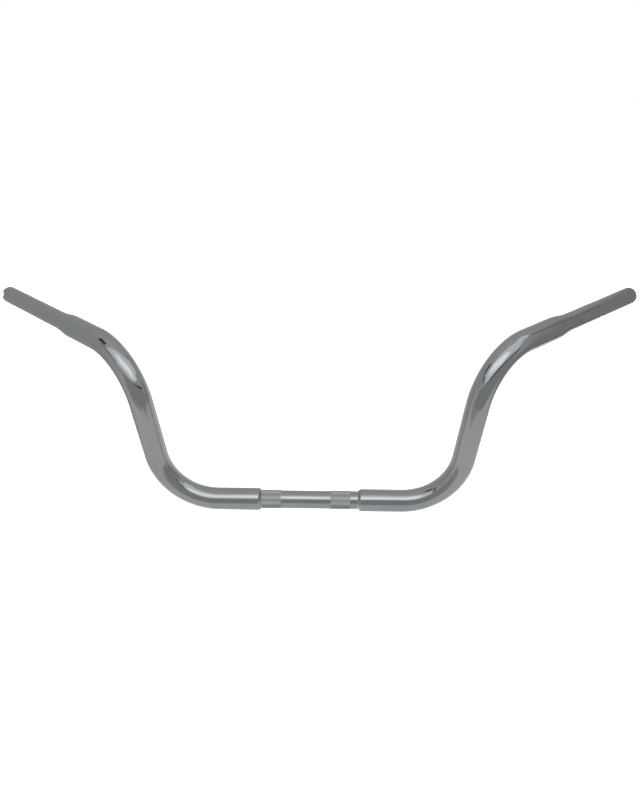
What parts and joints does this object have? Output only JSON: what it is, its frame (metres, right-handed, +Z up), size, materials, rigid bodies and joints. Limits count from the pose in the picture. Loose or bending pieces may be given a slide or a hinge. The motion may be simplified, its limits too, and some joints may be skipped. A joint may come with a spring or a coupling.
{
  "type": "motorcycle handlebar",
  "caption": "Chromed steel motorcycle handlebar with tall bent side risers, swept-back narrower grips and a knurled centre clamp section.",
  "frame": {"origin": "middle of the centre clamp section, on the tube axis", "axes": "+X along the clamp section to the clutch side (rider's left), +Z up the side risers, +Y back towards the rider"},
  "size_m": [0.9832, 0.2399, 0.264],
  "materials": {
    "clamp_chrome": "polished chrome with satin knurled bands",
    "riser_chrome": "polished chrome",
    "grip_chrome": "polished chrome",
    "bead_chrome": "chromed weld bead, dressed smooth"
  },
  "bodies": {
    "root": {"clamp_tube": "clamp_chrome", "throttle_side_riser_tube": "riser_chrome", "throttle_side_grip_tube": "grip_chrome", "throttle_side_shoulder_bead": "bead_chrome", "throttle_side_cone_bead": "bead_chrome", "clutch_side_riser_tube": "riser_chrome", "clutch_side_grip_tube": "grip_chrome", "clutch_side_shoulder_bead": "bead_chrome", "clutch_side_cone_bead": "bead_chrome"}
  },
  "joints": []
}
